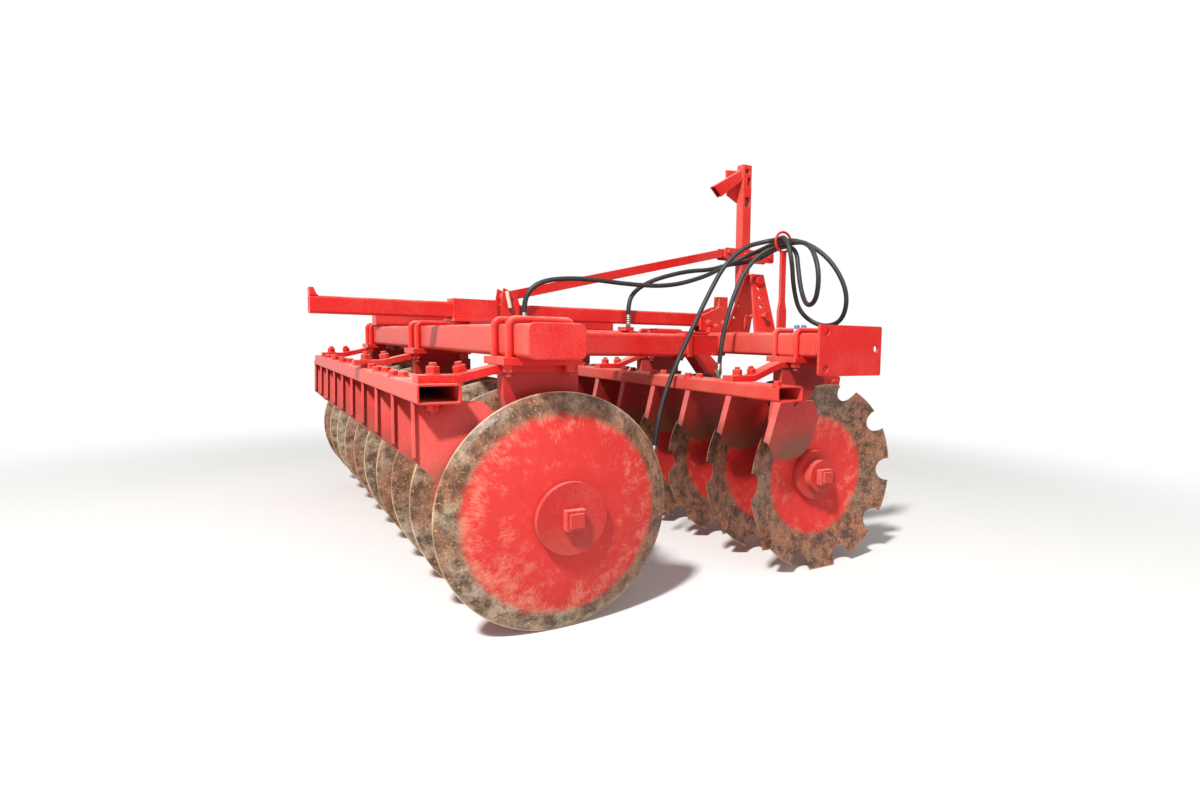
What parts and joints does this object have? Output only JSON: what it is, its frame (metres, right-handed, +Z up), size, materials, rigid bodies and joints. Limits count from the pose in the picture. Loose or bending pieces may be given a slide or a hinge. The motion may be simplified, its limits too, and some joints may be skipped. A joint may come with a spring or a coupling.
{
  "type": "disc harrow",
  "caption": "Mounted offset disc harrow: two gangs of dished discs with spools, hangers and scrapers under two toolbar beams, the rear one swung by a cylinder.",
  "frame": {"origin": "on the floor, under the middle of the machine", "axes": "+Y the direction of travel, +X the machine's right-hand side, +Z up"},
  "size_m": [2.69, 1.874, 1.5879],
  "materials": {
    "red_enamel": "sun-bleached enamel",
    "disc_steel": "worn enamel over soil-polished steel",
    "bare_steel": "dull, lightly rusted",
    "bare_steel_painted": "thin worn enamel",
    "hose_rubber": "dusty black hose rubber",
    "rod_chrome": "hard chrome"
  },
  "bodies": {
    "frame": {"front_beam": "red_enamel", "front_beam_cap": "red_enamel", "end_flange": "red_enamel", "right_rail": "red_enamel", "rail_bracket": "red_enamel", "left_rail": "red_enamel", "pivot_pin": "bare_steel", "guide_beam": "red_enamel", "guide_saddle": "red_enamel", "cylinder_anchor": "red_enamel", "pin_bracket": "red_enamel", "hitch_mast": "red_enamel", "mast_headstock": "red_enamel", "mast_collar": "red_enamel", "mast_brace": "red_enamel", "tower_cheeks": "red_enamel", "tower_pin": "bare_steel", "hose_post": "red_enamel", "hose_a": "hose_rubber", "hose_b": "hose_rubber", "hose_a_coupler": "bare_steel", "hose_b_coupler": "bare_steel", "hitch_brackets": "red_enamel", "front_hangers": "red_enamel", "front_bearing_housings": "red_enamel", "front_clamp_plates": "red_enamel", "front_u_bolts": "bare_steel_painted", "front_scraper_arms": "red_enamel", "front_scraper_bar": "red_enamel", "front_scrapers": "red_enamel"},
    "front_gang": {"front_discs": "disc_steel", "front_spools": "red_enamel", "front_end_hubs": "red_enamel", "front_gang_bolt": "bare_steel"},
    "rear_frame": {"rear_beam": "red_enamel", "rear_beam_caps": "red_enamel", "pivot_washer": "red_enamel", "cylinder_lug": "red_enamel", "slide_pad": "red_enamel", "rear_hangers": "red_enamel", "rear_bearing_housings": "red_enamel", "rear_clamp_plates": "red_enamel", "rear_u_bolts": "bare_steel_painted", "rear_scraper_arms": "red_enamel", "rear_scraper_bar": "red_enamel", "rear_scrapers": "red_enamel"},
    "rear_gang": {"rear_discs": "disc_steel", "rear_spools": "red_enamel", "rear_end_hubs": "red_enamel", "rear_gang_bolt": "bare_steel"},
    "guide_sleeve": {"guide_sleeve": "red_enamel"},
    "cylinder_barrel": {"cylinder_barrel": "red_enamel", "hose_a_fitting": "bare_steel", "hose_b_fitting": "bare_steel"},
    "cylinder_rod": {"cylinder_rod": "rod_chrome"}
  },
  "joints": [
    {"name": "front_gang_spin", "type": "hinge", "parent": "frame", "child": "front_gang", "pos_m": [0, 0.566, 0.33], "axis": [-1, 0, 0], "continuous": true},
    {"name": "rear_swing", "type": "hinge", "parent": "frame", "child": "rear_frame", "pos_m": [-0.815, -0.474, 0.85], "axis": [0, 0, -1], "range_deg": [0, 17]},
    {"name": "rear_gang_spin", "type": "hinge", "parent": "rear_frame", "child": "rear_gang", "pos_m": [0, -0.424, 0.33], "axis": [-1, 0, 0], "continuous": true},
    {"name": "sleeve_slide", "type": "slide", "parent": "frame", "child": "guide_sleeve", "axis": [0, -1, 0], "range_m": [0, 0.362]},
    {"name": "cylinder_swing", "type": "hinge", "parent": "frame", "child": "cylinder_barrel", "pos_m": [0.415, 0.311, 0.795], "axis": [0, 0, -1], "range_deg": [0, 1.06]},
    {"name": "rod_slide", "type": "slide", "parent": "cylinder_barrel", "child": "cylinder_rod", "axis": [0, -1, 0], "range_m": [0, 0.367]}
  ],
  "couplings": [
    {"joint": "sleeve_slide", "follows": "rear_swing", "m_per_rad": 1.212},
    {"joint": "cylinder_swing", "follows": "rear_swing", "ratio": 0.0565},
    {"joint": "rod_slide", "follows": "rear_swing", "m_per_rad": 1.2309}
  ]
}
